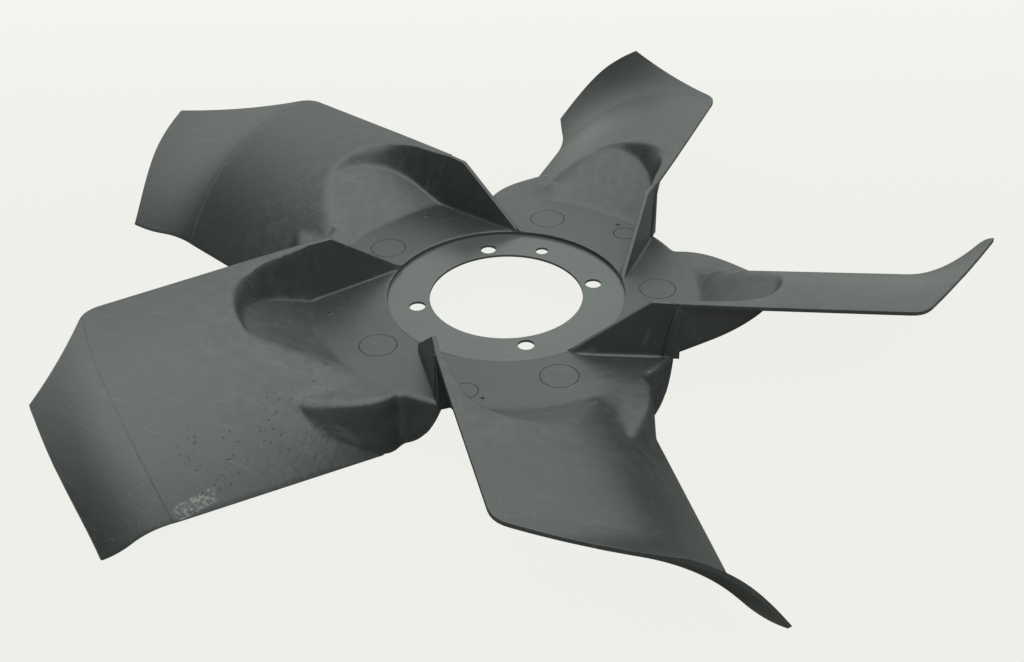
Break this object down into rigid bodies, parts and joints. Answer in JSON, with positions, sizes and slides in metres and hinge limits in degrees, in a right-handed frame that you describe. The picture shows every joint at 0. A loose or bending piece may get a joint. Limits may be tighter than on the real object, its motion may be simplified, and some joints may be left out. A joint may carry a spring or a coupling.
{
  "type": "axial fan impeller",
  "caption": "Axial cooling fan impeller: broad cambered plastic blades with curled tips moulded onto a flat steel mounting ring with a large bore and bolt holes.",
  "frame": {"origin": "centre of the steel ring's bore, on the ring's front face", "axes": "+Z along the shaft axis out of the front of the fan; blade 0 points along +X with its leading edge at -Y"},
  "size_m": [0.5843, 0.6014, 0.0837],
  "materials": {
    "black_moulded_plastic": "semi-matt moulded, lightly scuffed",
    "coated_steel": "smooth dark coating"
  },
  "bodies": {
    "root": {"impeller_moulding": "black_moulded_plastic", "mounting_ring": "coated_steel"}
  },
  "joints": []
}
